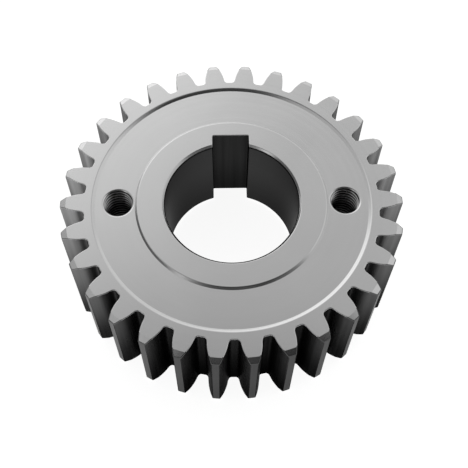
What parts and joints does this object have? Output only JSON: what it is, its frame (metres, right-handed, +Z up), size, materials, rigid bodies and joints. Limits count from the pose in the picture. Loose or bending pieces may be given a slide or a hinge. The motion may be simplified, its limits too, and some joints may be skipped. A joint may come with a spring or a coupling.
{
  "type": "spur gear",
  "caption": "Steel timing gear with straight involute teeth, a keyed central bore, a relieved web and tapped puller holes.",
  "frame": {"origin": "centre of the bore on the underside face", "axes": "+Z up the bore axis towards the relieved top face, +Y towards the keyway, +X towards one tapped puller hole"},
  "size_m": [0.128, 0.1276, 0.04],
  "materials": {
    "steel": "satin, fine turned and ground faces"
  },
  "bodies": {
    "root": {"timing_gear": "steel"}
  },
  "joints": []
}
